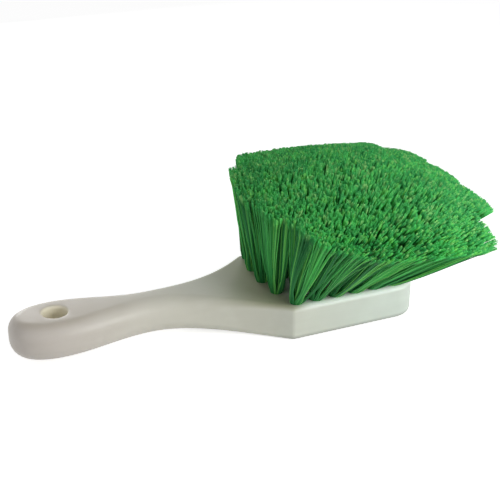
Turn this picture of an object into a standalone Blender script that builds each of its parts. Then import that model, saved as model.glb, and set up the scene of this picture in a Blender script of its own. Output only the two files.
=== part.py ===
"""Short-handled scrub brush: one moulded block with its handle, and machine-set tufts of bristles.

Metres, +Z up. The brush lies on its back, bristles up. The origin is the centre of the head's
flat back, +X runs from the handle to the front of the head, +Y is across it.
"""
import math

import bpy
from mathutils import Vector

# Head of the block
HEAD_LENGTH = 0.076
HEAD_WIDTH = 0.0735
HEAD_THICKNESS = 0.019
FRONT_CORNER_RADIUS = 0.014
SHOULDER_CORNER_RADIUS = 0.004
HEAD_TOP_EDGE_RADIUS = 0.003
HEAD_BACK_EDGE_RADIUS = 0.0028

# Handle, measured back from the shoulders, where the head ends
HANDLE_LENGTH = 0.1385
SHOULDER_FLARE_ANGLE = math.radians(39.0)
NECK_DISTANCE = 0.067
NECK_WIDTH = 0.0206
NECK_THICKNESS = 0.0199
NECK_LIFT = 0.0041
NECK_EDGE_RADIUS = 0.0087
BUTT_END_LENGTH = 0.0245
BUTT_WIDTH = 0.0355
BUTT_THICKNESS = 0.0196
BUTT_LIFT = 0.0047
BUTT_EDGE_RADIUS = 0.0077
BUTT_ROUNDNESS = 2.3

# Hanging hole through the butt
HANG_HOLE_DIAMETER = 0.0125
HANG_HOLE_FROM_END = 0.0235
HANG_HOLE_RIM_RADIUS = 0.0015

# Tuft holes, drilled from the head's top on leaning axes
TUFT_ROWS = 5
TUFT_COLUMNS = 7
TUFT_HOLE_DIAMETER = 0.0065
TUFT_HOLE_DEPTH = 0.0130
TUFT_SIDE_MARGIN = 0.0061
TUFT_FRONT_MARGIN = 0.0050
TUFT_REAR_OVERHANG = 0.0012
REAR_BOW = 0.005
HOLE_LEAN_SHARE = 0.4
ROW_LETTERS = "abcdefghi"

# Bristles: a folded bundle in each hole, its strands fanned out to the trimmed surface
REAR_TRIM_LENGTH = 0.0580
FRONT_TRIM_LENGTH = 0.0645
RING_STRANDS = (3, 9)
RING_RADIUS_SHARES = (0.38, 1.0)
STRAND_ROOT_RADIUS = 0.00048
STRAND_TIP_RADIUS = 0.0011
KNOT_RISE = 0.0014
KNOT_CLEARANCE = 0.0005
STRAND_EMBED = 0.0010
STRAND_ROOT_CLEARANCE = 0.0003
SPREAD_SHARE = 0.82

# Lean in degrees and share of the trimmed length in nine places of the head. Each row runs from the
# rear to the front, and the rows are the near side (-Y), the centre line and the far side.
FORWARD_LEANS = ((0.8, 10.6, 62.1), (-11.6, 14.1, 41.7), (7.1, 30.9, 40.8))
SIDE_LEANS = ((-25.2, -47.1, -34.9), (-8.9, 3.4, -1.1), (15.9, 20.6, 34.9))
TRIM_SHARES = ((0.975, 0.886, 0.941), (0.975, 1.019, 0.905), (0.966, 1.005, 1.023))

# Flat wire anchor across the fold of each bundle; its ends reach for the wall of the hole
ANCHOR_THICKNESS = 0.0005
ANCHOR_HEIGHT = 0.0024
ANCHOR_SEAT = 0.0020
ANCHOR_CLEARANCE = 0.0003

# How finely curves are cut into flat faces
EDGE_STEPS = 3
ARC_STEPS = 6
CURVE_STEPS = 8
HOLE_SIDES = 12
HANG_HOLE_SIDES = 24
RIM_STEPS = 3
STRAND_SIDES = 3
CUT_OVERRUN = 0.004
SHARP_ANGLE = math.radians(40.0)

BLOCK_COLOUR = (0.66, 0.67, 0.60, 1.0)
BLOCK_ROUGHNESS = 0.42
BRISTLE_COLOUR = (0.045, 0.33, 0.055, 1.0)
BRISTLE_ROUGHNESS = 0.48

front_x = HEAD_LENGTH / 2
shoulder_x = -HEAD_LENGTH / 2
neck_x = shoulder_x - NECK_DISTANCE
butt_tip_x = shoulder_x - HANDLE_LENGTH
butt_x = butt_tip_x + BUTT_END_LENGTH
hang_hole_x = butt_tip_x + HANG_HOLE_FROM_END


def clear_scene():
    for old in list(bpy.data.objects):
        bpy.data.objects.remove(old, do_unlink=True)


def plastic(name, colour, roughness):
    material = bpy.data.materials.new(name)
    material.use_nodes = True
    shader = material.node_tree.nodes["Principled BSDF"]
    shader.inputs["Base Color"].default_value = colour
    shader.inputs["Roughness"].default_value = roughness
    material.diffuse_color = colour
    return material


def new_object(name, vertices, faces, material=None):
    mesh = bpy.data.meshes.new(name)
    mesh.from_pydata([tuple(v) for v in vertices], [], faces)
    mesh.validate()
    mesh.update()
    made = bpy.data.objects.new(name, mesh)
    bpy.context.scene.collection.objects.link(made)
    if material:
        mesh.materials.append(material)
    return made


def shade_round(made):
    made.data.shade_smooth()
    made.data.set_sharp_from_angle(angle=SHARP_ANGLE)


def combine(made, tool, operation):
    """Cuts the tool out of made, or joins it on, and keeps the result as made's own mesh."""
    tool.hide_render = True
    tool.display_type = "WIRE"
    step = made.modifiers.new(operation.lower(), "BOOLEAN")
    step.operation = operation
    step.solver = "EXACT"
    step.object = tool
    bpy.context.view_layer.update()
    evaluated = made.evaluated_get(bpy.context.evaluated_depsgraph_get())
    result = bpy.data.meshes.new_from_object(evaluated)
    made.modifiers.remove(step)
    old, made.data = made.data, result
    result.name = made.name
    bpy.data.meshes.remove(old)
    bpy.data.objects.remove(tool, do_unlink=True)


def blend(low, high, share):
    """Eases from low to high while share runs from 0 to 1."""
    share = min(max(share, 0.0), 1.0)
    return low + (high - low) * share * share * (3.0 - 2.0 * share)


def along_handle(x, head_value, neck_value, butt_value):
    """A size that eases from the head's value to the neck's and on to the butt's."""
    if x >= neck_x:
        return blend(head_value, neck_value, (shoulder_x - x) / NECK_DISTANCE)
    return blend(neck_value, butt_value, (neck_x - x) / (neck_x - butt_x))


def back_height(x):
    return along_handle(x, 0.0, NECK_LIFT, BUTT_LIFT)


def top_height(x):
    return along_handle(x, HEAD_THICKNESS, NECK_LIFT + NECK_THICKNESS, BUTT_LIFT + BUTT_THICKNESS)


def curve_between(start, end, steps):
    """Points and outward normals of a cubic from start to end, each (x, y, slope)."""
    run = end[0] - start[0]
    found = []
    for i in range(steps):
        t = i / steps
        y = (
            start[1] * (1 + 2 * t) * (1 - t) ** 2
            + start[2] * run * t * (1 - t) ** 2
            + end[1] * t * t * (3 - 2 * t)
            - end[2] * run * t * t * (1 - t)
        )
        slope = (
            (end[1] - start[1]) * 6 * t * (1 - t) / run
            + start[2] * (1 - t) * (1 - 3 * t)
            - end[2] * t * (2 - 3 * t)
        )
        found.append((Vector((start[0] + run * t, y)), Vector((-slope, 1.0)).normalized()))
    return found


def arc(centre, radius, start_angle, end_angle, steps):
    found = []
    for i in range(steps + 1):
        angle = start_angle + (end_angle - start_angle) * i / steps
        normal = Vector((math.cos(angle), math.sin(angle)))
        found.append((centre + radius * normal, normal))
    return found


def butt_end():
    """The rounded end of the handle, from its tip on the axis to its widest place."""
    half = BUTT_WIDTH / 2
    power = 2.0 / BUTT_ROUNDNESS
    found = []
    for i in range(CURVE_STEPS):
        angle = math.pi / 2 * i / CURVE_STEPS
        c, s = math.cos(angle), math.sin(angle)
        x = butt_x - BUTT_END_LENGTH * c**power
        y = half * s**power
        normal = Vector((-(c ** (2 - power)) / BUTT_END_LENGTH, s ** (2 - power) / half))
        found.append((Vector((x, y)), normal.normalized()))
    return found


def half_outline():
    """The block's plan on the +Y side, from the tip of the butt to the front: (point, normal)."""
    flare = math.tan(SHOULDER_FLARE_ANGLE)
    tangent = SHOULDER_CORNER_RADIUS * math.tan(SHOULDER_FLARE_ANGLE / 2)
    side = HEAD_WIDTH / 2
    shoulder_centre = Vector((shoulder_x + tangent, side - SHOULDER_CORNER_RADIUS))
    shoulder = arc(
        shoulder_centre, SHOULDER_CORNER_RADIUS, math.pi / 2 + SHOULDER_FLARE_ANGLE, math.pi / 2, EDGE_STEPS
    )
    corner_centre = Vector((front_x - FRONT_CORNER_RADIUS, side - FRONT_CORNER_RADIUS))
    corner = arc(corner_centre, FRONT_CORNER_RADIUS, math.pi / 2, 0.0, ARC_STEPS)
    butt = (butt_x, BUTT_WIDTH / 2, 0.0)
    neck = (neck_x, NECK_WIDTH / 2, 0.0)
    flare_end = (shoulder[0][0].x, shoulder[0][0].y, flare)
    return (
        butt_end()
        + curve_between(butt, neck, CURVE_STEPS)
        + curve_between(neck, flare_end, CURVE_STEPS)
        + shoulder
        + corner
    )


def edge_profile():
    """(inset share, height share, side) round the block's edge, from the back up to the top."""
    quarter = [math.pi / 2 * i / EDGE_STEPS for i in range(EDGE_STEPS + 1)]
    lower = [(1 - math.sin(a), 1 - math.cos(a), "back") for a in quarter]
    upper = [(1 - math.cos(a), 1 - math.sin(a), "top") for a in quarter]
    return lower + upper


def block_shell():
    """The solid block: its outline in rings from the back's rim to the top's, with both faces filled."""
    half = half_outline()
    mirrored = [(Vector((p.x, -p.y)), Vector((n.x, -n.y))) for p, n in half[1:]]
    outline = half + mirrored[::-1]
    vertices, faces = [], []
    for inset, drop, side in edge_profile():
        for point, normal in outline:
            if side == "top":
                radius = along_handle(point.x, HEAD_TOP_EDGE_RADIUS, NECK_EDGE_RADIUS, BUTT_EDGE_RADIUS)
            else:
                radius = along_handle(point.x, HEAD_BACK_EDGE_RADIUS, NECK_EDGE_RADIUS, BUTT_EDGE_RADIUS)
            place = point - normal * inset * radius
            if side == "top":
                height = top_height(place.x) - drop * radius
            else:
                height = back_height(place.x) + drop * radius
            vertices.append((place.x, place.y, height))
    count = len(outline)
    rings = len(vertices) // count
    for ring in range(rings - 1):
        for i in range(count):
            j = (i + 1) % count
            low, high = ring * count, (ring + 1) * count
            faces.append((low + i, high + i, high + j, low + j))
    last = (rings - 1) * count
    for i in range(1, len(half)):
        a, b = i - 1, i
        c, d = (count - i) % count, (count - i + 1) % count
        if a == 0:
            faces.append((0, b, c))
            faces.append((last, last + c, last + b))
        else:
            faces.append((a, b, c, d))
            faces.append((last + d, last + c, last + b, last + a))
    return vertices, faces


def prism(low_centre, high_centre, low_radius, high_radius, sides, axis, turn=0.0):
    """A straight prism between two parallel polygons square to axis."""
    across = axis.orthogonal().normalized()
    up = axis.cross(across)
    vertices = []
    for centre, radius in ((low_centre, low_radius), (high_centre, high_radius)):
        for i in range(sides):
            angle = turn + 2 * math.pi * i / sides
            vertices.append(centre + radius * (math.cos(angle) * across + math.sin(angle) * up))
    faces = [(i, (i + 1) % sides, sides + (i + 1) % sides, sides + i) for i in range(sides)]
    faces.append(tuple(reversed(range(sides))))
    faces.append(tuple(range(sides, 2 * sides)))
    return vertices, faces


def gather(solids):
    """Several separate solids as one list of vertices and faces."""
    vertices, faces = [], []
    for some_vertices, some_faces in solids:
        start = len(vertices)
        vertices += some_vertices
        faces += [tuple(start + i for i in face) for face in some_faces]
    return vertices, faces


def hang_hole_cutter():
    """A turned cutter with rounded mouths for the hole through the butt."""
    low, high = back_height(hang_hole_x), top_height(hang_hole_x)
    radius, rim = HANG_HOLE_DIAMETER / 2, HANG_HOLE_RIM_RADIUS
    quarter = [math.pi / 2 * i / RIM_STEPS for i in range(RIM_STEPS + 1)]
    lower = [(radius + rim * (1 - math.sin(a)), low + rim * (1 - math.cos(a))) for a in quarter]
    upper = [(radius + rim * (1 - math.cos(a)), high - rim * (1 - math.sin(a))) for a in quarter]
    profile = [(radius + rim, low - CUT_OVERRUN)] + lower + upper + [(radius + rim, high + CUT_OVERRUN)]
    vertices, faces = [], []
    for r, z in profile:
        for i in range(HANG_HOLE_SIDES):
            angle = 2 * math.pi * i / HANG_HOLE_SIDES
            vertices.append((hang_hole_x + r * math.cos(angle), r * math.sin(angle), z))
    for ring in range(len(profile) - 1):
        for i in range(HANG_HOLE_SIDES):
            j = (i + 1) % HANG_HOLE_SIDES
            low_ring, high_ring = ring * HANG_HOLE_SIDES, (ring + 1) * HANG_HOLE_SIDES
            faces.append((low_ring + i, low_ring + j, high_ring + j, high_ring + i))
    last = (len(profile) - 1) * HANG_HOLE_SIDES
    faces.append(tuple(reversed(range(HANG_HOLE_SIDES))))
    faces.append(tuple(range(last, last + HANG_HOLE_SIDES)))
    return vertices, faces


first_column_x = shoulder_x - TUFT_REAR_OVERHANG
last_column_x = front_x - TUFT_FRONT_MARGIN
outer_row_y = HEAD_WIDTH / 2 - TUFT_SIDE_MARGIN
column_pitch = (last_column_x - first_column_x) / (TUFT_COLUMNS - 1)
row_pitch = 2 * outer_row_y / (TUFT_ROWS - 1)
cell_x = SPREAD_SHARE * column_pitch / 2
cell_y = SPREAD_SHARE * row_pitch / 2


def tuft_places():
    """Name and centre of each tuft; the rear column is bowed and the outer rows end at the front corners."""
    straight_x = front_x - FRONT_CORNER_RADIUS
    inner_y = HEAD_WIDTH / 2 - FRONT_CORNER_RADIUS
    found = []
    for row in range(TUFT_ROWS):
        y = -outer_row_y + row * row_pitch
        bow = REAR_BOW * (y / outer_row_y) ** 2
        for column in range(TUFT_COLUMNS):
            x = first_column_x + column * column_pitch
            if x > straight_x and abs(y) > inner_y:
                continue
            x += bow * (1 - column / (TUFT_COLUMNS - 1))
            found.append((f"tuft_{ROW_LETTERS[row]}{column + 1}", Vector((x, y, HEAD_THICKNESS))))
    return found


def along_head(x):
    """0 at the rear edge of the tufted field, 1 at its front edge."""
    return (x - first_column_x + column_pitch / 2) / (last_column_x - first_column_x + column_pitch)


def across_head(y):
    """-1 at the near edge of the tufted field, 1 at its far edge."""
    return y / (outer_row_y + row_pitch / 2)


def from_table(table, x, y):
    """A value at (x, y) from a smooth surface through a table's nine places."""
    along, across = along_head(x), across_head(y)
    column_shares = (
        2 * (along - 0.5) * (along - 1), 4 * along * (1 - along), 2 * along * (along - 0.5)
    )
    row_shares = (across * (across - 1) / 2, 1 - across * across, across * (across + 1) / 2)
    return sum(
        row_share * column_share * value
        for row_share, row in zip(row_shares, table)
        for column_share, value in zip(column_shares, row)
    )


def trim_length(x, y):
    length = REAR_TRIM_LENGTH + (FRONT_TRIM_LENGTH - REAR_TRIM_LENGTH) * along_head(x)
    return length * from_table(TRIM_SHARES, x, y)


def lean(x, y):
    """Forward and sideways lean of the bristles whose share of the head is centred on (x, y)."""
    return math.radians(from_table(FORWARD_LEANS, x, y)), math.radians(from_table(SIDE_LEANS, x, y))


def direction(forward, sideways):
    return Vector(
        (math.sin(forward) * math.cos(sideways), math.sin(sideways), math.cos(forward) * math.cos(sideways))
    )


def hole_axis(centre):
    """The holes lean alike on both sides of the brush, though its bristles don't."""
    forward, sideways = lean(centre.x, centre.y)
    other_forward, other_sideways = lean(centre.x, -centre.y)
    return direction(
        HOLE_LEAN_SHARE * (forward + other_forward) / 2, HOLE_LEAN_SHARE * (sideways - other_sideways) / 2
    )


def strand_places():
    """Places of a tuft's strands in rings, in a disc of radius 1."""
    for count, radius_share in zip(RING_STRANDS, RING_RADIUS_SHARES):
        for i in range(count):
            angle = 2 * math.pi * (i + 0.5) / count
            yield radius_share * Vector((math.cos(angle), math.sin(angle)))


def spread_place(place):
    """Moves a place in the disc out to the square round it, so that ends fill their share of the head."""
    return place * place.length / max(abs(place.x), abs(place.y))


def strand_lines(centre):
    """Root and tip of each strand of the tuft at centre."""
    axis = hole_axis(centre)
    top = centre + axis * KNOT_RISE
    across = Vector((axis.z, 0.0, -axis.x)).normalized()
    up = axis.cross(across)
    bundle = TUFT_HOLE_DIAMETER / 2 - KNOT_CLEARANCE - STRAND_ROOT_RADIUS - STRAND_ROOT_CLEARANCE
    found = []
    for place in strand_places():
        root = top + bundle * (place.x * across + place.y * up)
        wide = spread_place(place)
        spread = centre + Vector((cell_x * wide.x, cell_y * wide.y, 0.0))
        way = direction(*lean(spread.x, spread.y))
        found.append((root, spread + trim_length(spread.x, spread.y) * way))
    return found


def tuft_holes():
    """All the blind holes, each a leaning prism that overruns the head's top."""
    cutters = []
    for _name, centre in tuft_places():
        axis = hole_axis(centre)
        bottom, mouth = centre - axis * TUFT_HOLE_DEPTH, centre + axis * CUT_OVERRUN
        radius = TUFT_HOLE_DIAMETER / 2
        cutters.append(prism(bottom, mouth, radius, radius, HOLE_SIDES, axis))
    return gather(cutters)


def anchor(centre):
    """The flat wire through the fold of the bundle at centre; it lies along the brush."""
    axis = hole_axis(centre)
    along = Vector((axis.z, 0.0, -axis.x)).normalized()
    across = axis.cross(along)
    middle = centre - axis * (TUFT_HOLE_DEPTH - ANCHOR_SEAT - ANCHOR_HEIGHT / 2)
    half_length = TUFT_HOLE_DIAMETER / 2 - ANCHOR_CLEARANCE
    vertices = []
    for height in (-ANCHOR_HEIGHT / 2, ANCHOR_HEIGHT / 2):
        for i, j in ((-1, -1), (1, -1), (1, 1), (-1, 1)):
            side = across * ANCHOR_THICKNESS / 2 * j
            vertices.append(middle + along * half_length * i + side + axis * height)
    faces = [(3, 2, 1, 0), (4, 5, 6, 7), (0, 1, 5, 4), (1, 2, 6, 5), (2, 3, 7, 6), (3, 0, 4, 7)]
    return vertices, faces


def make_block(material):
    block = new_object("handle_block", *block_shell(), material)
    combine(block, new_object("hang_hole_cutter", *hang_hole_cutter()), "DIFFERENCE")
    combine(block, new_object("tuft_hole_cutter", *tuft_holes()), "DIFFERENCE")
    shade_round(block)
    return block


def make_tuft(name, centre, material):
    """A folded bundle in its hole, held by its anchor, with strands that part at its top."""
    axis = hole_axis(centre)
    radius = TUFT_HOLE_DIAMETER / 2 - KNOT_CLEARANCE
    bottom = centre - axis * (TUFT_HOLE_DEPTH - KNOT_CLEARANCE)
    top = centre + axis * KNOT_RISE
    tuft = new_object(name, *prism(bottom, top, radius, radius, HOLE_SIDES, axis), material)
    strands = []
    for root, tip in strand_lines(centre):
        way = (tip - root).normalized()
        strands.append(
            prism(root - way * STRAND_EMBED, tip, STRAND_ROOT_RADIUS, STRAND_TIP_RADIUS, STRAND_SIDES, way)
        )
    combine(tuft, new_object(name + "_strands", *gather(strands)), "UNION")
    combine(tuft, new_object(name + "_anchor", *anchor(centre)), "UNION")
    return tuft


def build():
    clear_scene()
    block_material = plastic("block_plastic", BLOCK_COLOUR, BLOCK_ROUGHNESS)
    bristle_material = plastic("bristle_plastic", BRISTLE_COLOUR, BRISTLE_ROUGHNESS)
    make_block(block_material)
    for name, centre in tuft_places():
        make_tuft(name, centre, bristle_material)


build()
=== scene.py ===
import math

import bpy
import numpy as np
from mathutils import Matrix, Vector


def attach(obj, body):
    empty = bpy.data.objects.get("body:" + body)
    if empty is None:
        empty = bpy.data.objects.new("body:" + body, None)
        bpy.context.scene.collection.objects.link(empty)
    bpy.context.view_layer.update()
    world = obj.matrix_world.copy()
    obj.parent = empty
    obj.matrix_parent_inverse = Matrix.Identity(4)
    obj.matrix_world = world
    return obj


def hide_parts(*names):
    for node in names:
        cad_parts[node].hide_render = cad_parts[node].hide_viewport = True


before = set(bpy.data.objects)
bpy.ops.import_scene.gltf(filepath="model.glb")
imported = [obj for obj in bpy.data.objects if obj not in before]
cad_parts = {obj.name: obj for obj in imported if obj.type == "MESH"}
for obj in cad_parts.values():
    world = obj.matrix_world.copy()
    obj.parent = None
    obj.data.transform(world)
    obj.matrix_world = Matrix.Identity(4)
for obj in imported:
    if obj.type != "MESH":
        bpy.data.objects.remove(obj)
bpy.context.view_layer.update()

# Short-handled scrub brush, in metres, lying on its flat back with the bristles up.
# The origin is the middle of the head's back, +X runs from the handle to the front of the head.


# Shader graphs

class Wire:
    # one output of a node; sums and products of wires add Math nodes
    def __init__(self, finish, socket):
        self.finish, self.socket = finish, socket

    def __add__(self, other):
        return self.finish.math("ADD", self, other)

    def __sub__(self, other):
        return self.finish.math("SUBTRACT", self, other)

    def __rsub__(self, other):
        return self.finish.math("SUBTRACT", other, self)

    def __mul__(self, other):
        return self.finish.math("MULTIPLY", self, other)

    __radd__ = __add__

    def between(self, none, full):
        # 0 at none, 1 at full, eased in the middle and level beyond them
        settings = {"interpolation_type": "SMOOTHSTEP"}
        return self.finish.add("MapRange", settings, {"Value": self, "From Min": none, "From Max": full})


class Finish:
    # the nodes of a material or world, and the only way they are added
    def __init__(self, owner):
        owner.use_nodes = True
        self.owner, self.tree = owner, owner.node_tree
        self.tree.nodes.clear()

    def add(self, kind, settings=None, inputs=None, output=0):
        node = self.tree.nodes.new("ShaderNode" + kind)
        for key, value in (settings or {}).items():
            if key == "stops":
                while len(node.color_ramp.elements) < len(value):
                    node.color_ramp.elements.new(0.5)
                for element, (place, colour) in zip(node.color_ramp.elements, value):
                    element.position, element.color = place, colour
            else:
                setattr(node, key, value)
        for key, value in (inputs or {}).items():
            if isinstance(value, Wire):
                self.tree.links.new(value.socket, node.inputs[key])
            else:
                node.inputs[key].default_value = value
        return Wire(self, node.outputs[output])

    def math(self, operation, *values):
        return self.add("Math", {"operation": operation}, dict(enumerate(values)))

    def mix(self, factor, low, high):
        return self.add("Mix", {"data_type": "RGBA"}, {0: factor, 6: low, 7: high}, output=2)

    def noise(self, place, scale, detail=2.0, roughness=0.5):
        inputs = {"Vector": place, "Scale": scale, "Detail": detail, "Roughness": roughness}
        return self.add("TexNoise", None, inputs)

    def attribute(self, name):
        return self.add("Attribute", {"attribute_name": name}, output=2)

    def shown(self):
        # 1 for what the camera sees, also in a mirror or through glass, and 0 for light that falls on things
        kinds = ("Is Camera Ray", "Is Glossy Ray", "Is Transmission Ray")
        camera, glossy, through = (self.add("LightPath", output=kind) for kind in kinds)
        return self.math("MAXIMUM", self.math("MAXIMUM", camera, glossy), through)

    def close(self, surface, kind="OutputMaterial"):
        node = self.tree.nodes.new("ShaderNode" + kind)
        self.tree.links.new(surface.socket, node.inputs["Surface"])
        return self.owner


def linear(red, green, blue):
    # a colour as it is picked on a screen, 0 to 255, in Blender's linear values
    parts = [v / 255 for v in (red, green, blue)]
    return tuple(p / 12.92 if p < 0.04045 else ((p + 0.055) / 1.055) ** 2.4 for p in parts) + (1.0,)


def newObject(name, data):
    made = bpy.data.objects.new(name, data)
    bpy.context.scene.collection.objects.link(made)
    return made


# Camera, floor and light

white = (1.0, 1.0, 1.0, 1.0)
studio = {
    "azimuth": -24.2, "elevation": 24.0, "distance": 0.600, "aim": (-0.0295, 0.0377, 0.020),
    "lens": 75.355, "sensorWidth": 36.0, "clipStart": 0.01, "clipEnd": 20.0,
    "worldLight": 0.37,
    "floorHalf": 4.0, "floorDrop": 0.0002, "floorColour": (0.86, 0.86, 0.86, 1.0), "floorGlow": 0.64,
    "lamps": {
        "softKey": {"place": (0.26, -0.46, 0.22), "target": (0.0, 0.0, 0.03), "size": 0.30, "watts": 2.1},
        "softFill": {"place": (-0.86, -0.34, 0.20), "target": (-0.04, 0.0, 0.03), "size": 0.6, "watts": 0.80},
        "softBack": {"place": (-0.10, 0.75, 0.22), "target": (-0.04, 0.0, 0.03), "size": 0.4, "watts": 1.8},
    },
}


def pointAlong(made, way):
    made.rotation_mode = "QUATERNION"
    made.rotation_quaternion = way.to_track_quat("-Z", "Y")


def makeCamera():
    a, e = math.radians(studio["azimuth"]), math.radians(studio["elevation"])
    back = Vector((math.sin(a) * math.cos(e), -math.cos(a) * math.cos(e), math.sin(e)))
    data = bpy.data.cameras.new("camera")
    data.sensor_width, data.lens = studio["sensorWidth"], studio["lens"]
    data.clip_start, data.clip_end = studio["clipStart"], studio["clipEnd"]
    camera = newObject("camera", data)
    camera.location = Vector(studio["aim"]) + back * studio["distance"]
    pointAlong(camera, -back)
    bpy.context.scene.camera = camera


def makeWorld():
    # the background shows white and lights the brush less than it shows
    finish = Finish(bpy.data.worlds.new("paleStudio"))
    strength = finish.add("MapRange", None, {"Value": finish.shown(), "To Min": studio["worldLight"]})
    background = finish.add("Background", None, {"Color": white, "Strength": strength})
    bpy.context.scene.world = finish.close(background, "OutputWorld")


def makeFloor():
    finish = Finish(bpy.data.materials.new("paleFloor"))
    lit = finish.add("BsdfDiffuse", None, {"Color": studio["floorColour"]})
    glow = finish.add("Emission", None, {"Color": white, "Strength": studio["floorGlow"]})
    both = finish.add("AddShader", None, {0: lit, 1: glow})
    mesh = bpy.data.meshes.new("floor")
    half = studio["floorHalf"]
    corners = [(-half, -half, 0), (half, -half, 0), (half, half, 0), (-half, half, 0)]
    mesh.from_pydata(corners, [], [(0, 1, 2, 3)])
    mesh.materials.append(finish.close(finish.add("MixShader", None, {0: finish.shown(), 1: lit, 2: both})))
    floor = newObject("floor", mesh)
    floor.location.z = -studio["floorDrop"]


def makeLamp(name, place, target, size, watts):
    data = bpy.data.lights.new(name, "AREA")
    data.shape, data.size, data.energy = "DISK", size, watts
    lamp = newObject(name, data)
    lamp.visible_camera = False
    lamp.location = place
    pointAlong(lamp, Vector(target) - Vector(place))


makeCamera()
makeWorld()
makeFloor()
for lampName, lampValues in studio["lamps"].items():
    makeLamp(lampName, **lampValues)
print("camera, floor and light made")


# The moulded block

block = {
    "headLength": 0.076, "headWidth": 0.0735, "headThickness": 0.019,
    "frontCorner": 0.014, "shoulderCorner": 0.004, "topEdge": 0.003, "backEdge": 0.0028,
    "handleLength": 0.1385, "shoulderFlare": 39.0,
    "neckDistance": 0.067, "neckWidth": 0.0206, "neckThickness": 0.0199, "neckLift": 0.0041,
    "neckEdge": 0.0087,
    "buttEnd": 0.0245, "buttWidth": 0.0355, "buttThickness": 0.0196, "buttLift": 0.0047,
    "buttEdge": 0.0077, "buttRoundness": 2.3,
    "hangHole": 0.0125, "hangHoleFromEnd": 0.0235, "hangHoleRim": 0.0015,
    "edgeSteps": 9, "cornerSteps": 20, "curveSteps": 30, "hangHoleSides": 64, "rimSteps": 8,
    # how far the shapes that cut the holes stand out of the block, and the angle that shows as an edge
    "cutterReach": 0.004, "sharpAngle": 32.0,
}

frontX = block["headLength"] / 2
shoulderX = -block["headLength"] / 2
neckX = shoulderX - block["neckDistance"]
buttTipX = shoulderX - block["handleLength"]
buttX = buttTipX + block["buttEnd"]
hangHoleX = buttTipX + block["hangHoleFromEnd"]


def blend(low, high, share):
    share = min(max(share, 0.0), 1.0)
    return low + (high - low) * share * share * (3.0 - 2.0 * share)


def cubic(t, start, startWay, end, endWay):
    # the point at t, from 0 to 1, of a curve with these ends and these slopes at them
    return ((1 + 2 * t) * (1 - t) ** 2 * start + t * (1 - t) ** 2 * startWay
            + t * t * (3 - 2 * t) * end - t * t * (1 - t) * endWay)


def alongHandle(x, head, neck, butt):
    if x >= neckX:
        return blend(head, neck, (shoulderX - x) / block["neckDistance"])
    return blend(neck, butt, (neckX - x) / (neckX - buttX))


def backHeight(x):
    return alongHandle(x, 0.0, block["neckLift"], block["buttLift"])


def topHeight(x):
    neck, butt = block["neckLift"] + block["neckThickness"], block["buttLift"] + block["buttThickness"]
    return alongHandle(x, block["headThickness"], neck, butt)


def curveBetween(start, end, steps):
    # points and outward normals of a curve from start to end, each (x, y, slope)
    run, rise = end[0] - start[0], end[1] - start[1]
    found = []
    for i in range(steps):
        t = i / steps
        y = cubic(t, start[1], start[2] * run, end[1], end[2] * run)
        slope = rise * 6 * t * (1 - t) / run + start[2] * (1 - t) * (1 - 3 * t) - end[2] * t * (2 - 3 * t)
        found.append((Vector((start[0] + run * t, y)), Vector((-slope, 1.0)).normalized()))
    return found


def arc(centre, radius, startAngle, endAngle, steps):
    found = []
    for i in range(steps + 1):
        angle = startAngle + (endAngle - startAngle) * i / steps
        normal = Vector((math.cos(angle), math.sin(angle)))
        found.append((centre + radius * normal, normal))
    return found


def buttEnd():
    half, power = block["buttWidth"] / 2, 2.0 / block["buttRoundness"]
    found = []
    for i in range(block["curveSteps"]):
        angle = math.pi / 2 * i / block["curveSteps"]
        c, s = math.cos(angle), math.sin(angle)
        normal = Vector((-(c ** (2 - power)) / block["buttEnd"], s ** (2 - power) / half))
        found.append((Vector((buttX - block["buttEnd"] * c**power, half * s**power)), normal.normalized()))
    return found


def halfOutline():
    # the plan on the +Y side, from the tip of the butt to the front of the head
    flare = math.radians(block["shoulderFlare"])
    side = block["headWidth"] / 2
    corner, front = block["shoulderCorner"], block["frontCorner"]
    shoulderCentre = Vector((shoulderX + corner * math.tan(flare / 2), side - corner))
    shoulder = arc(shoulderCentre, corner, math.pi / 2 + flare, math.pi / 2, block["edgeSteps"])
    frontArc = arc(Vector((frontX - front, side - front)), front, math.pi / 2, 0.0, block["cornerSteps"])
    butt = (buttX, block["buttWidth"] / 2, 0.0)
    neck = (neckX, block["neckWidth"] / 2, 0.0)
    flareEnd = (shoulder[0][0].x, shoulder[0][0].y, math.tan(flare))
    handle = curveBetween(butt, neck, block["curveSteps"]) + curveBetween(neck, flareEnd, block["curveSteps"])
    return buttEnd() + handle + shoulder + frontArc


def quarterTurn(steps):
    return [math.pi / 2 * i / steps for i in range(steps + 1)]


def edgeProfile():
    # each ring's distance in from the outline and from the back or top, as shares of the edge's radius
    quarter = quarterTurn(block["edgeSteps"])
    lower = [(1 - math.sin(a), 1 - math.cos(a), "back") for a in quarter]
    upper = [(1 - math.cos(a), 1 - math.sin(a), "top") for a in quarter]
    return lower + upper


def blockShell():
    half = halfOutline()
    outline = half + [(Vector((p.x, -p.y)), Vector((n.x, -n.y))) for p, n in half[1:]][::-1]
    vertices, faces = [], []
    for inset, drop, side in edgeProfile():
        for point, normal in outline:
            headEdge = block["topEdge"] if side == "top" else block["backEdge"]
            radius = alongHandle(point.x, headEdge, block["neckEdge"], block["buttEdge"])
            place = point - normal * inset * radius
            if side == "top":
                height = topHeight(place.x) - drop * radius
            else:
                height = backHeight(place.x) + drop * radius
            vertices.append((place.x, place.y, height))
    count = len(outline)
    rings = len(vertices) // count
    for ring in range(rings - 1):
        for i in range(count):
            j = (i + 1) % count
            low, high = ring * count, (ring + 1) * count
            faces.append((low + i, high + i, high + j, low + j))
    last = (rings - 1) * count
    for i in range(1, len(half)):
        a, b, c, d = i - 1, i, (count - i) % count, (count - i + 1) % count
        if a == 0:
            faces += [(0, b, c), (last, last + c, last + b)]
        else:
            faces += [(a, b, c, d), (last + d, last + c, last + b, last + a)]
    return vertices, faces


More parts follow.
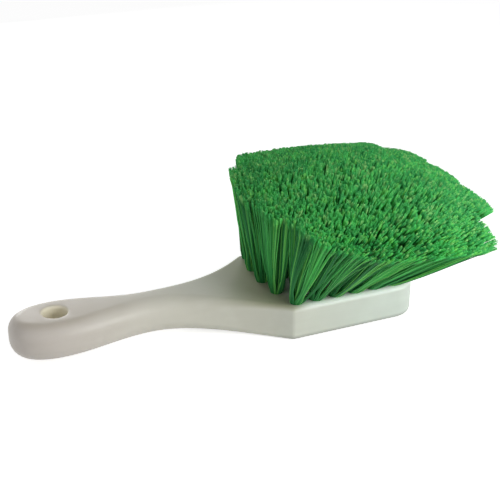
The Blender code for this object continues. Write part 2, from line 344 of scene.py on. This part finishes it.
def ringFaces(rings, sides):
    # the sides and flat ends of a closed solid whose vertices come in rings
    faces = []
    for ring in range(rings - 1):
        for i in range(sides):
            j = (i + 1) % sides
            faces.append((ring * sides + i, ring * sides + j, (ring + 1) * sides + j, (ring + 1) * sides + i))
    last = (rings - 1) * sides
    return faces + [tuple(reversed(range(sides))), tuple(range(last, last + sides))]


def prism(low, high, radius, sides, axis):
    across = axis.orthogonal().normalized()
    up = axis.cross(across)
    vertices = []
    for centre in (low, high):
        for i in range(sides):
            angle = 2 * math.pi * i / sides
            vertices.append(centre + radius * (math.cos(angle) * across + math.sin(angle) * up))
    return vertices, ringFaces(2, sides)


def hangHoleCutter():
    low, high, reach = backHeight(hangHoleX), topHeight(hangHoleX), block["cutterReach"]
    radius, rim, sides = block["hangHole"] / 2, block["hangHoleRim"], block["hangHoleSides"]
    quarter = quarterTurn(block["rimSteps"])
    lower = [(radius + rim * (1 - math.sin(a)), low + rim * (1 - math.cos(a))) for a in quarter]
    upper = [(radius + rim * (1 - math.cos(a)), high - rim * (1 - math.sin(a))) for a in quarter]
    profile = [(radius + rim, low - reach)] + lower + upper + [(radius + rim, high + reach)]
    vertices = []
    for r, z in profile:
        for i in range(sides):
            angle = 2 * math.pi * i / sides
            vertices.append((hangHoleX + r * math.cos(angle), r * math.sin(angle), z))
    return vertices, ringFaces(len(profile), sides)


def meshObject(name, vertices, faces):
    mesh = bpy.data.meshes.new(name)
    mesh.from_pydata([tuple(v) for v in vertices], [], faces)
    mesh.validate()
    return newObject(name, mesh)


def cutOut(made, cutter):
    cut = made.modifiers.new("cut", "BOOLEAN")
    cut.operation, cut.solver, cut.object = "DIFFERENCE", "EXACT", cutter
    bpy.context.view_layer.update()
    result = bpy.data.meshes.new_from_object(made.evaluated_get(bpy.context.evaluated_depsgraph_get()))
    made.modifiers.remove(cut)
    old, made.data = made.data, result
    result.name = made.name
    bpy.data.meshes.remove(old)
    bpy.data.objects.remove(cutter, do_unlink=True)


# Where the tufts stand, and the lean of their holes

tuftField = {
    "rows": 5, "columns": 7, "holeDiameter": 0.0065, "holeDepth": 0.0130, "holeSides": 28,
    "sideMargin": 0.0061, "frontMargin": 0.0050, "rearOverhang": 0.0012, "rearBow": 0.005, "holeLean": 0.4,
    # lean of the bristles in degrees and share of their length, each row of numbers from the rear to the
    # front of the head, for its near side, centre and far side
    "forward": ((0.8, 10.6, 62.1), (-11.6, 14.1, 41.7), (7.1, 30.9, 40.8)),
    "sideways": ((-25.2, -47.1, -34.9), (-8.9, 3.4, -1.1), (15.9, 20.6, 34.9)),
    "trimmed": ((0.975, 0.886, 0.941), (0.975, 1.019, 0.905), (0.966, 1.005, 1.023)),
    "rearLength": 0.0580, "frontLength": 0.0645,
}

firstX = shoulderX - tuftField["rearOverhang"]
lastX = frontX - tuftField["frontMargin"]
outerY = block["headWidth"] / 2 - tuftField["sideMargin"]
pitchX = (lastX - firstX) / (tuftField["columns"] - 1)
pitchY = 2 * outerY / (tuftField["rows"] - 1)


def tuftPlaces():
    straightX, innerY = frontX - block["frontCorner"], block["headWidth"] / 2 - block["frontCorner"]
    found = []
    for row in range(tuftField["rows"]):
        y = -outerY + row * pitchY
        bow = tuftField["rearBow"] * (y / outerY) ** 2
        for column in range(tuftField["columns"]):
            x = firstX + column * pitchX
            if x > straightX and abs(y) > innerY:
                continue
            x += bow * (1 - column / (tuftField["columns"] - 1))
            found.append(("abcde"[row] + str(column + 1), Vector((x, y, block["headThickness"]))))
    return found


def headShares(x, y):
    # how far a place is from the rear to the front of the tufts, 0 to 1, and from side to side, -1 to 1
    return (x - firstX + pitchX / 2) / (lastX - firstX + pitchX), y / (outerY + pitchY / 2)


def bentTable(table, s, t):
    # a smooth surface through a 3 by 3 table, s along the head and t across it
    alongShares = (2 * (s - 0.5) * (s - 1), 4 * s * (1 - s), 2 * s * (s - 0.5))
    acrossShares = (t * (t - 1) / 2, 1 - t * t, t * (t + 1) / 2)
    return sum(acrossShares[r] * alongShares[c] * table[r][c] for r in range(3) for c in range(3))


def holeAxis(centre):
    # the holes lean alike on both sides of the head, by a part of what the bristles do
    s, t = headShares(centre.x, centre.y)
    share = math.radians(tuftField["holeLean"]) / 2
    f = share * (bentTable(tuftField["forward"], s, t) + bentTable(tuftField["forward"], s, -t))
    w = share * (bentTable(tuftField["sideways"], s, t) - bentTable(tuftField["sideways"], s, -t))
    return Vector((math.sin(f) * math.cos(w), math.sin(w), math.cos(f) * math.cos(w)))


def tuftHoles():
    radius, sides = tuftField["holeDiameter"] / 2, tuftField["holeSides"]
    vertices, faces = [], []
    for _, centre in tuftPlaces():
        axis = holeAxis(centre)
        bottom, mouth = centre - axis * tuftField["holeDepth"], centre + axis * block["cutterReach"]
        someVertices, someFaces = prism(bottom, mouth, radius, sides, axis)
        faces += [tuple(len(vertices) + i for i in face) for face in someFaces]
        vertices += someVertices
    return vertices, faces


plastic = {
    # rosier at the butt and cooler at the head, where the green is painted light bounced off the bristles:
    # places between the ends of tintRange, and their colours
    "tintRange": (-0.18, 0.04),
    "tints": ((0.0, linear(208, 198, 192)), (0.35, linear(206, 203, 190)),
              (0.62, linear(208, 209, 196)), (1.0, linear(201, 213, 207))),
    # cloudy marks and long ones that follow the flow of the moulding
    "cloudScale": 55.0, "cloudDetail": 3.0,
    "flowScale": (14.0, 150.0, 150.0), "flowDetail": 4.0, "flowGrain": 0.6,
    "toneRange": (0.35, 0.65), "toneShare": 0.35,
    "darkTone": linear(194, 192, 178), "paleTone": linear(211, 211, 199),
    # each painted shade's or painted light's strength and colour, and where it sets in and is full, along the
    # brush and in height
    "paintedLightAndShade": (
        # painted shade: the top behind the tufts is darker and olive, standing in for the bristles' shadow
        # and the green light they throw on it
        {"share": 0.75, "colour": linear(154, 154, 122),
         "along": ((-0.080, -0.044), (-0.030, -0.040)), "height": (0.0164, 0.0189)},
        # painted light: the head's upper rim is paler, a painted highlight along its edge
        {"share": 0.6, "colour": linear(246, 255, 248),
         "along": ((-0.036, -0.026),), "height": (0.0160, 0.0185)},
        # painted shade: the head's foot is darker, as shade where it meets the table
        {"share": 0.6, "colour": linear(120, 122, 112),
         "along": ((-0.050, -0.036),), "height": (0.0036, 0.0006)},
        # painted shade: the top of the butt is a little darker and browner
        {"share": 0.4, "colour": linear(180, 170, 150),
         "along": ((-0.100, -0.150),), "height": (0.0215, 0.0243)},
    ),
    # painted light: the wall of the hanging hole is paler, standing in for light that passes through the thin
    # plastic, up to these distances from the hole's middle
    "wallShare": 0.8, "wallPaintedLight": linear(242, 236, 212), "wallFull": 0.0062, "wallNone": 0.0078,
    "roughness": 0.24, "roughnessByCloud": 0.22, "roughnessByFlow": 0.16, "specular": 0.42,
    "subsurface": 0.25, "subsurfaceRadius": (1.0, 1.0, 0.8), "subsurfaceScale": 0.004,
    "peelScale": 1500.0, "peelShare": 0.10, "swellScale": 90.0, "bumpDistance": 0.00025,
}


def milkyPlastic():
    finish = Finish(bpy.data.materials.new("milkyBlockPlastic"))
    place = finish.add("TexCoord", output="Object")
    along, across, height = (finish.add("SeparateXYZ", None, {0: place}, output=i) for i in range(3))
    # the tint along the brush, with painted green bounce light towards the head
    tint = finish.add("ValToRGB", {"stops": plastic["tints"]}, {0: along.between(*plastic["tintRange"])})
    cloud = finish.noise(place, plastic["cloudScale"], plastic["cloudDetail"])
    stretched = finish.add("Mapping", None, {"Vector": place, "Scale": plastic["flowScale"]})
    flow = finish.noise(stretched, 1.0, plastic["flowDetail"], plastic["flowGrain"])
    marks = (cloud * 0.5 + flow * 0.5).between(*plastic["toneRange"])
    tone = finish.mix(marks, plastic["darkTone"], plastic["paleTone"])
    colour = finish.mix(plastic["toneShare"], tint, tone)
    # painted shade and painted light laid over the block's colour
    for shade in plastic["paintedLightAndShade"]:
        mask = height.between(*shade["height"])
        for limits in shade["along"]:
            mask = mask * along.between(*limits)
        colour = finish.mix(mask * shade["share"], colour, shade["colour"])
    # painted light on the hanging hole's wall
    fromHole = along - hangHoleX
    away = (fromHole * fromHole + across * across).between(plastic["wallFull"] ** 2, plastic["wallNone"] ** 2)
    colour = finish.mix((1 - away) * plastic["wallShare"], colour, plastic["wallPaintedLight"])
    peel, swell = finish.noise(place, plastic["peelScale"]), finish.noise(place, plastic["swellScale"])
    relief = peel * plastic["peelShare"] + swell
    roughness = cloud * plastic["roughnessByCloud"] + flow * plastic["roughnessByFlow"] + plastic["roughness"]
    surface = finish.add("BsdfPrincipled", None, {
        "Base Color": colour,
        "Roughness": roughness,
        "Specular IOR Level": plastic["specular"],
        "Subsurface Weight": plastic["subsurface"],
        "Subsurface Radius": plastic["subsurfaceRadius"],
        "Subsurface Scale": plastic["subsurfaceScale"],
        "Normal": finish.add("Bump", None, {"Height": relief, "Distance": plastic["bumpDistance"]}),
    })
    return finish.close(surface)


def makeBlock():
    made = meshObject("brushBlock", *blockShell())
    cutOut(made, meshObject("hangHoleCutter", *hangHoleCutter()))
    cutOut(made, meshObject("tuftHoleCutter", *tuftHoles()))
    made.data.materials.clear()
    made.data.materials.append(milkyPlastic())
    made.data.shade_smooth()
    made.data.set_sharp_from_angle(angle=math.radians(block["sharpAngle"]))
    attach(made, "root")
    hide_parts("handle_block")


makeBlock()
print("block made")


# The bristles

bristles = {
    "perTuft": 320, "frontExtra": 200, "radius": 0.00023, "tipRadius": 0.00016, "frontTipRadius": 0.00025,
    "sides": 4, "rings": (0.0, 0.08, 0.20, 0.34, 0.50, 0.68, 0.86, 1.0),
    # the bundle in the hole, and how the bristles leave it and end
    "bundle": 0.0030, "rootDepth": 0.0035, "rootJitter": 0.03,
    "axisShare": 0.05, "endBend": 0.04, "splay": 0.24, "sway": 0.02, "swayFull": 0.62,
    # the half width of a tuft at its end, in tufts, and how the foremost ones are rounded, frontReach being
    # where that starts, in tufts behind the last one
    "fill": 0.52, "frontClump": 0.02, "frontReach": 1.4,
    # locks gather the bristles up to lockFull of their length, and let them go towards the tip
    "locks": 8, "lockJitter": 0.10, "lockSpread": 0.86, "lockPull": 0.9, "lockFull": 0.22,
    "midClump": 0.70, "tipClump": 0.04,
    # bristles also stand in small groups that keep together at their ends
    "groups": 84, "groupPlaceJitter": 0.06, "groupClump": 0.45, "groupStart": 0.3, "groupFull": 0.9,
    "lengthJitter": 0.008, "shortest": -2.0, "longest": 1.2, "groupJitter": 0.011, "jitterReach": 4,
    # how much less of this the tufts at the front ends of the rows have
    "evenLocks": 0.45, "evenGroups": 0.9, "evenJitter": 0.7,
    # each bristle's end is split into fine ones, as on a flagged brush
    "flags": 4, "flagStart": 0.87, "flagSpread": 0.00060, "flagRadii": (0.00014, 0.000126, 0.000098),
    "flagSides": 3, "flagBow": 0.62, "flagWidths": (0.5, 1.2), "flagLengths": (0.93, 1.04),
    "firstSeed": 100,
    # painted shade: the green darkens towards the root, from midStart of the length down, as shade deep in
    # the tuft
    "shadedRootGreen": linear(60, 158, 78), "midGreen": linear(98, 224, 112), "midStart": 0.6,
    # dark and streaky bristles and their cut ends: the weights of each bristle's own tone, its lock's and its
    # group's, the sums at which a shade sets in and is full, and its strength
    "darkGreen": linear(30, 118, 62), "darkShare": 0.95,
    "darkWeights": (0.4, 0.3, 0.3), "darkRange": (0.25, 0.75),
    "streakGreen": linear(146, 232, 110), "streakShare": 0.6,
    "streakWeights": (0.75, 0.0, 0.25), "streakRange": (0.32, 0.14),
    "endStart": 0.90, "endGreen": linear(64, 192, 100), "endWeights": (0.4, 0.0, 0.6),
    "paleGreen": linear(160, 230, 136), "paleWeights": (0.5, 0.0, 0.5), "paleRange": (0.66, 0.95),
    "roughness": 0.42, "roughnessByTone": 0.14, "specular": 0.22,
}


def trimmedEnds(spread):
    # where bristles end whose share of the head is centred on spread
    s, t = headShares(spread[:, 0], spread[:, 1])
    forward = np.radians(bentTable(tuftField["forward"], s, t))
    side = np.radians(bentTable(tuftField["sideways"], s, t))
    length = tuftField["rearLength"] + (tuftField["frontLength"] - tuftField["rearLength"]) * s
    length = length * bentTable(tuftField["trimmed"], s, t)
    way = np.stack([np.sin(forward) * np.cos(side), np.sin(side), np.cos(forward) * np.cos(side)], axis=1)
    return spread + way * length[:, None]


def unit(vectors):
    return vectors / np.linalg.norm(vectors, axis=-1, keepdims=True)


def withinDisc(places):
    return places / np.maximum(np.linalg.norm(places, axis=1, keepdims=True), 1.0)


def discPlaces(count, random, jitter):
    # places spread evenly over a disc of radius 1, by the golden angle and from a random turn
    order = np.arange(count) + 0.5
    radius, angle = np.sqrt(order / count), order * math.pi * (3 - math.sqrt(5)) + random.uniform(0, 6.28)
    places = np.stack([radius * np.cos(angle), radius * np.sin(angle)], axis=1)
    places += random.normal(0.0, jitter, places.shape)
    return withinDisc(places)


def nearest(places, seeds):
    return np.argmin(np.linalg.norm(places[:, None] - seeds[None], axis=2), axis=1)


def flowThrough(centre, axis, disc, share, rounded):
    # the point of each bristle at a share of its length, from its place in the hole's disc
    across = np.array(Vector((axis.z, 0.0, -axis.x)).normalized())
    middle, up = np.array(centre), np.cross(np.array(axis), across)
    outward = disc[:, :1] * across + disc[:, 1:] * up
    root = middle + bristles["bundle"] * outward
    size = np.linalg.norm(disc, axis=1, keepdims=True)
    square = disc * size / np.maximum(np.abs(disc).max(axis=1, keepdims=True), 1e-6)
    facing = np.clip(0.5 + disc[:, :1], 0.0, 1.0)
    spread = square + rounded * facing * (disc * (1 - bristles["frontClump"]) - square)
    spread = spread * (pitchX * bristles["fill"], pitchY * bristles["fill"])
    tip = trimmedEnds(middle + np.column_stack([spread, np.zeros(len(disc))]))
    chord = tip - root
    far = np.linalg.norm(chord, axis=1, keepdims=True)
    axisShare, bend = bristles["axisShare"], bristles["endBend"]
    rootWay = axisShare * np.array(axis) + (1 - axisShare) * chord / far + bristles["splay"] * outward
    tipWay = (1 + bend) * chord / far - bend * np.array(axis)
    return cubic(share, root, unit(rootWay) * far, tip, unit(tipWay) * far)


def tubes(lines, radii, sides):
    # closed tubes along lines of shape (tubes, rings, 3): vertices, quads and the caps of their ends
    tangent = unit(np.gradient(lines, axis=1))
    first = unit(np.cross(tangent, (0.0, 1.0, 0.0)))
    second = np.cross(tangent, first)
    angle = 2 * math.pi * np.arange(sides) / sides
    ring = np.cos(angle)[:, None] * first[:, :, None, :] + np.sin(angle)[:, None] * second[:, :, None, :]
    vertices = lines[:, :, None, :] + ring * np.array(radii)[None, :, None, None]
    count, rings = lines.shape[:2]
    start = np.arange(count)[:, None, None] * rings * sides
    low = start + np.arange(rings - 1)[None, :, None] * sides
    i, j = np.arange(sides), (np.arange(sides) + 1) % sides
    quads = np.stack([low + i, low + j, low + sides + j, low + sides + i], axis=-1).reshape(-1, 4)
    bottom = start[:, 0] + i[::-1]
    top = start[:, 0] + (rings - 1) * sides + i
    return vertices.reshape(-1, 3), quads, np.concatenate([bottom, top])


def fastMesh(name, parts):
    # parts are what tubes() gives; the sides are shaded smooth and the ends flat
    faces, smooth, places, start = [], [], [], 0
    for vertices, quads, caps in parts:
        faces += [quads + start, caps + start]
        smooth += [np.ones(len(quads), dtype=bool), np.zeros(len(caps), dtype=bool)]
        places.append(vertices)
        start += len(vertices)
    sizes = np.concatenate([np.full(len(f), f.shape[1]) for f in faces])
    corners = np.concatenate([f.ravel() for f in faces]).astype(np.int32)
    mesh = bpy.data.meshes.new(name)
    mesh.vertices.add(start)
    mesh.vertices.foreach_set("co", np.concatenate(places).astype(np.float32).ravel())
    mesh.loops.add(len(corners))
    mesh.loops.foreach_set("vertex_index", corners)
    mesh.polygons.add(len(sizes))
    mesh.polygons.foreach_set("loop_start", (np.cumsum(sizes) - sizes).astype(np.int32))
    mesh.update(calc_edges=True)
    mesh.polygons.foreach_set("use_smooth", np.concatenate(smooth))
    return mesh


def strandLines(centre, axis, random, rounded, even):
    # the middle line of each bristle, ring by ring, and the numbers of its lock and group
    count = bristles["perTuft"] + round(bristles["frontExtra"] * even)
    disc = discPlaces(count, random, bristles["rootJitter"])
    locks = discPlaces(bristles["locks"], random, bristles["lockJitter"]) * bristles["lockSpread"]
    groups = discPlaces(bristles["groups"], random, bristles["groupPlaceJitter"])
    lock, group = nearest(disc, locks), nearest(disc, groups)
    sway = random.normal(0.0, 1.0, disc.shape)
    own = np.clip(random.normal(0.0, 1.0, count), bristles["shortest"], bristles["longest"])
    groupJitter = bristles["groupJitter"] * (1 - bristles["evenJitter"] * even)
    shared = random.normal(0.0, groupJitter, bristles["groups"])
    longer = bristles["lengthJitter"] * own + shared[group]
    toLock = (locks[lock] - disc) * bristles["lockPull"]
    midClump = bristles["midClump"] * (1 - bristles["evenLocks"] * even)
    groupClump = bristles["groupClump"] * (1 - bristles["evenGroups"] * even)
    lockFull, groupStart, groupFull = bristles["lockFull"], bristles["groupStart"], bristles["groupFull"]
    rings = []
    for share in bristles["rings"]:
        swaying = bristles["sway"] * math.sin(math.pi / 2 * min(share / bristles["swayFull"], 1.0))
        late = max(share - lockFull, 0.0) / (1 - lockFull)
        clump = blend(0.0, midClump, share / lockFull) * (1 - late) + bristles["tipClump"] * late
        grouped = blend(0.0, groupClump, (share - groupStart) / (groupFull - groupStart))
        place = disc + clump * toLock + sway * swaying + grouped * (groups[group] - disc) * (1 - clump)
        rings.append(flowThrough(centre, axis, withinDisc(place), share, rounded))
    lines = np.stack(rings, axis=1)
    lines[:, -1] += (lines[:, -1] - lines[:, -2]) * longer[:, None] * bristles["jitterReach"]
    inside = lines[:, :1] - np.array(axis) * bristles["rootDepth"]
    return np.concatenate([inside, lines], axis=1), lock, group


def flagLines(lines, random):
    # fine split ends that leave the last stretch of each bristle
    rings = (bristles["rings"][-2], bristles["rings"][-1])
    reach = (bristles["flagStart"] - rings[0]) / (rings[1] - rings[0])
    found = []
    for _ in range(bristles["flags"]):
        base = lines[:, -2] + (lines[:, -1] - lines[:, -2]) * reach
        way = lines[:, -1] - base
        aside = random.normal(0.0, 1.0, base.shape)
        aside -= unit(way) * (aside * unit(way)).sum(axis=1, keepdims=True)
        aside = unit(aside) * bristles["flagSpread"] * random.uniform(*bristles["flagWidths"], (len(base), 1))
        far = way * random.uniform(*bristles["flagLengths"], (len(base), 1))
        middle = base + 0.5 * far + bristles["flagBow"] * aside
        found.append(np.stack([base, middle, base + far + aside], axis=1))
    return np.concatenate(found)


def paint(mesh, name, values):
    mesh.attributes.new(name, "FLOAT", "POINT").data.foreach_set("value", values.astype(np.float32).ravel())


def weighed(wires, weights):
    return sum(wire * weight for wire, weight in zip(wires, weights))


def bristlePlastic():
    finish = Finish(bpy.data.materials.new("greenBristle"))
    along = finish.attribute("alongStrand")
    tones = [finish.attribute(name) for name in ("strandTone", "lockTone", "groupTone")]
    # painted shade towards the roots of the bristles
    colour = finish.mix(along.between(0.0, bristles["midStart"]), bristles["shadedRootGreen"], bristles["midGreen"])
    dark = weighed(tones, bristles["darkWeights"]).between(*bristles["darkRange"])
    colour = finish.mix(dark * bristles["darkShare"], colour, bristles["darkGreen"])
    streak = weighed(tones, bristles["streakWeights"]).between(*bristles["streakRange"])
    colour = finish.mix(streak * bristles["streakShare"], colour, bristles["streakGreen"])
    ends = along.between(bristles["endStart"], 1.0)
    colour = finish.mix(ends * weighed(tones, bristles["endWeights"]), colour, bristles["endGreen"])
    pale = weighed(tones, bristles["paleWeights"]).between(*bristles["paleRange"])
    colour = finish.mix(ends * pale, colour, bristles["paleGreen"])
    surface = finish.add("BsdfPrincipled", None, {
        "Base Color": colour,
        "Roughness": tones[0] * bristles["roughnessByTone"] + bristles["roughness"],
        "Specular IOR Level": bristles["specular"],
    })
    return finish.close(surface)


def nearRowEnd(x, endX):
    # 1 for the tuft at the front end of a row, and less for those behind it
    return blend(0.0, 1.0, (x - endX) / pitchX + bristles["frontReach"])


def makeTuft(label, centre, seed, material):
    random = np.random.default_rng(seed)
    outerRow = abs(centre.y) > outerY - pitchY / 2
    # the front column is rounded, and the front end of every row is fuller and more even
    rounded = nearRowEnd(centre.x, lastX)
    even = nearRowEnd(centre.x, lastX - pitchX if outerRow else lastX)
    lines, lock, group = strandLines(centre, holeAxis(centre), random, rounded, even)
    flags = flagLines(lines, random)
    shares = np.array((0.0,) + bristles["rings"])
    tipRadius = blend(bristles["tipRadius"], bristles["frontTipRadius"], even)
    radii = bristles["radius"] + (tipRadius - bristles["radius"]) * shares**4
    sides, flagSides, start = bristles["sides"], bristles["flagSides"], bristles["flagStart"]
    flagShares = np.array((start, (1 + start) / 2, 1.0))
    name = "bristles" + label.upper()
    mesh = fastMesh(name, [tubes(lines, radii, sides), tubes(flags, bristles["flagRadii"], flagSides)])
    strandShares = np.tile(np.repeat(shares, sides), len(lines))
    splitShares = np.tile(np.repeat(flagShares, flagSides), len(flags))
    paint(mesh, "alongStrand", np.concatenate([strandShares, splitShares]))
    tones = {
        "strandTone": random.uniform(0, 1, len(lines)),
        "lockTone": random.uniform(0, 1, bristles["locks"])[lock],
        "groupTone": random.uniform(0, 1, bristles["groups"])[group],
    }
    for key, values in tones.items():
        strand = np.repeat(values, len(shares) * sides)
        split = np.repeat(np.tile(values, bristles["flags"]), len(flagShares) * flagSides)
        paint(mesh, key, np.concatenate([strand, split]))
    mesh.materials.append(material)
    made = newObject(name, mesh)
    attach(made, "root")
    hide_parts("tuft_" + label)


def makeBristles():
    material = bristlePlastic()
    for number, (label, centre) in enumerate(tuftPlaces()):
        makeTuft(label, centre, bristles["firstSeed"] + number, material)


makeBristles()
print("bristles made")

bpy.context.scene.view_settings.view_transform = "Standard"
bpy.context.view_layer.update()
